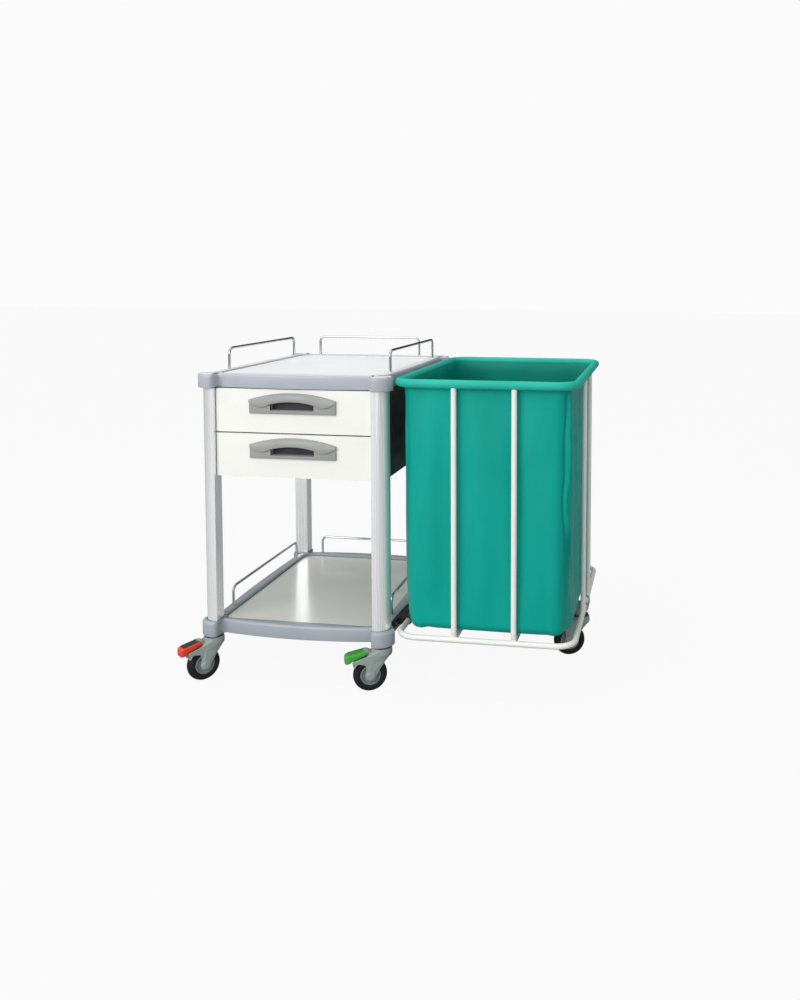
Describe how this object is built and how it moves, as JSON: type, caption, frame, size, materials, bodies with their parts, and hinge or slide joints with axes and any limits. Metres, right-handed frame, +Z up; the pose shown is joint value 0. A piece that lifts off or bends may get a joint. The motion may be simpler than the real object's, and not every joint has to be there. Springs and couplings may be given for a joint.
{
  "type": "ward trolley with laundry bag",
  "caption": "Hospital ward trolley: drawers under a railed deck, railed lower shelf, laundry bag hung in a side tube frame, swivel casters with brake pedals.",
  "frame": {"origin": "on the floor under the middle of the whole trolley, casters at their rest headings", "axes": "+X to the trolley's right (towards the laundry bag), -Y out of the drawer fronts, +Z up"},
  "size_m": [1.1982, 0.8604, 0.996],
  "materials": {
    "moulded_grey": "satin",
    "deck_white": "gloss",
    "shelf_sheet": "high gloss",
    "column_aluminium": "satin anodised",
    "chrome_wire": "polished",
    "zinc_steel": "zinc plated",
    "cabinet_white": "semi gloss",
    "cabinet_dark": "satin",
    "front_white": "satin",
    "handle_grey": "satin",
    "frame_white": "powder coat",
    "clamp_black": "matte",
    "stem_dark": "satin",
    "bag_fabric": "coated woven polyester",
    "caster_grey": "satin",
    "hub_grey": "satin",
    "tyre_rubber": "matte",
    "pedal_red": "satin",
    "pedal_green": "satin"
  },
  "bodies": {
    "cart": {"top_frame": "moulded_grey", "deck_panel": "deck_white", "shelf_frame": "moulded_grey", "shelf_panel": "shelf_sheet", "column_front_left": "column_aluminium", "column_front_right": "column_aluminium", "column_rear_left": "column_aluminium", "column_rear_right": "column_aluminium", "tie_rods": "zinc_steel", "deck_rail_left": "chrome_wire", "deck_rail_right": "chrome_wire", "deck_rail_rear": "chrome_wire", "shelf_rail_left": "chrome_wire", "shelf_rail_right": "chrome_wire", "shelf_rail_rear": "chrome_wire", "rail_nuts": "zinc_steel", "cabinet_shell": "cabinet_white", "cabinet_sides": "cabinet_dark", "fixed_runners": "zinc_steel", "assembly_screws": "zinc_steel", "hamper_frame": "frame_white", "hamper_clamps": "clamp_black", "caster_bracket": "caster_grey", "caster_stems": "stem_dark"},
    "upper_drawer": {"upper_drawer_box": "cabinet_white", "upper_drawer_front": "front_white", "upper_drawer_handle": "handle_grey", "upper_drawer_runners": "zinc_steel", "upper_drawer_screws": "zinc_steel"},
    "upper_middle": {"upper_middle_runners": "zinc_steel"},
    "lower_drawer": {"lower_drawer_box": "cabinet_white", "lower_drawer_front": "front_white", "lower_drawer_handle": "handle_grey", "lower_drawer_runners": "zinc_steel", "lower_drawer_screws": "zinc_steel"},
    "lower_middle": {"lower_middle_runners": "zinc_steel"},
    "bag": {"laundry_bag": "bag_fabric"},
    "front_left_swivel": {"front_left_fork": "caster_grey", "front_left_axle": "zinc_steel"},
    "front_left_wheel": {"front_left_hub": "hub_grey", "front_left_tyre": "tyre_rubber"},
    "front_left_brake": {"front_left_pedal": "pedal_red"},
    "front_right_swivel": {"front_right_fork": "caster_grey", "front_right_axle": "zinc_steel"},
    "front_right_wheel": {"front_right_hub": "hub_grey", "front_right_tyre": "tyre_rubber"},
    "front_right_brake": {"front_right_pedal": "pedal_green"},
    "rear_left_swivel": {"rear_left_fork": "caster_grey", "rear_left_axle": "zinc_steel"},
    "rear_left_wheel": {"rear_left_hub": "hub_grey", "rear_left_tyre": "tyre_rubber"},
    "rear_right_swivel": {"rear_right_fork": "caster_grey", "rear_right_axle": "zinc_steel"},
    "rear_right_wheel": {"rear_right_hub": "hub_grey", "rear_right_tyre": "tyre_rubber"},
    "hamper_swivel": {"hamper_fork": "caster_grey", "hamper_axle": "zinc_steel"},
    "hamper_wheel": {"hamper_hub": "hub_grey", "hamper_tyre": "tyre_rubber"}
  },
  "joints": [
    {"name": "upper_drawer_slide", "type": "slide", "parent": "cart", "child": "upper_drawer", "axis": [0, -1, 0], "range_m": [0, 0.5]},
    {"name": "upper_middle_slide", "type": "slide", "parent": "cart", "child": "upper_middle", "axis": [0, -1, 0], "range_m": [0, 0.25]},
    {"name": "lower_drawer_slide", "type": "slide", "parent": "cart", "child": "lower_drawer", "axis": [0, -1, 0], "range_m": [0, 0.5]},
    {"name": "lower_middle_slide", "type": "slide", "parent": "cart", "child": "lower_middle", "axis": [0, -1, 0], "range_m": [0, 0.25]},
    {"name": "bag_lift", "type": "slide", "parent": "cart", "child": "bag", "axis": [0, 0, 1], "range_m": [0, 0.75]},
    {"name": "front_left_swivel_turn", "type": "hinge", "parent": "cart", "child": "front_left_swivel", "pos_m": [-0.51131, -0.33382, 0.117], "axis": [0, 0, 1], "continuous": true},
    {"name": "front_left_wheel_roll", "type": "hinge", "parent": "front_left_swivel", "child": "front_left_wheel", "pos_m": [-0.5338, -0.36063, 0.05], "axis": [0.766, -0.6428, 0], "continuous": true},
    {"name": "front_left_brake_press", "type": "hinge", "parent": "front_left_swivel", "child": "front_left_brake", "pos_m": [-0.53573, -0.36293, 0.112], "axis": [0.766, -0.6428, 0], "range_deg": [0, 8]},
    {"name": "front_right_swivel_turn", "type": "hinge", "parent": "cart", "child": "front_right_swivel", "pos_m": [0.01669, -0.33382, 0.117], "axis": [0, 0, 1], "continuous": true},
    {"name": "front_right_wheel_roll", "type": "hinge", "parent": "front_right_swivel", "child": "front_right_wheel", "pos_m": [-0.01503, -0.34861, 0.05], "axis": [0.4226, -0.9063, 0], "continuous": true},
    {"name": "front_right_brake_press", "type": "hinge", "parent": "front_right_swivel", "child": "front_right_brake", "pos_m": [-0.01775, -0.34988, 0.112], "axis": [0.4226, -0.9063, 0], "range_deg": [0, 8]},
    {"name": "rear_left_swivel_turn", "type": "hinge", "parent": "cart", "child": "rear_left_swivel", "pos_m": [-0.51131, 0.39418, 0.117], "axis": [0, 0, 1], "continuous": true},
    {"name": "rear_left_wheel_roll", "type": "hinge", "parent": "rear_left_swivel", "child": "rear_left_wheel", "pos_m": [-0.53998, 0.3741, 0.05], "axis": [0.5736, -0.8192, 0], "continuous": true},
    {"name": "rear_right_swivel_turn", "type": "hinge", "parent": "cart", "child": "rear_right_swivel", "pos_m": [0.01669, 0.39418, 0.117], "axis": [0, 0, 1], "continuous": true},
    {"name": "rear_right_wheel_roll", "type": "hinge", "parent": "rear_right_swivel", "child": "rear_right_wheel", "pos_m": [-0.01362, 0.37668, 0.05], "axis": [0.5, -0.866, 0], "continuous": true},
    {"name": "hamper_swivel_turn", "type": "hinge", "parent": "cart", "child": "hamper_swivel", "pos_m": [0.56769, 0.03018, 0.117], "axis": [0, 0, 1], "continuous": true},
    {"name": "hamper_wheel_roll", "type": "hinge", "parent": "hamper_swivel", "child": "hamper_wheel", "pos_m": [0.53389, 0.02112, 0.05], "axis": [0.2588, -0.9659, 0], "continuous": true}
  ],
  "couplings": [
    {"joint": "upper_middle_slide", "follows": "upper_drawer_slide", "ratio": 0.5},
    {"joint": "lower_middle_slide", "follows": "lower_drawer_slide", "ratio": 0.5}
  ]
}
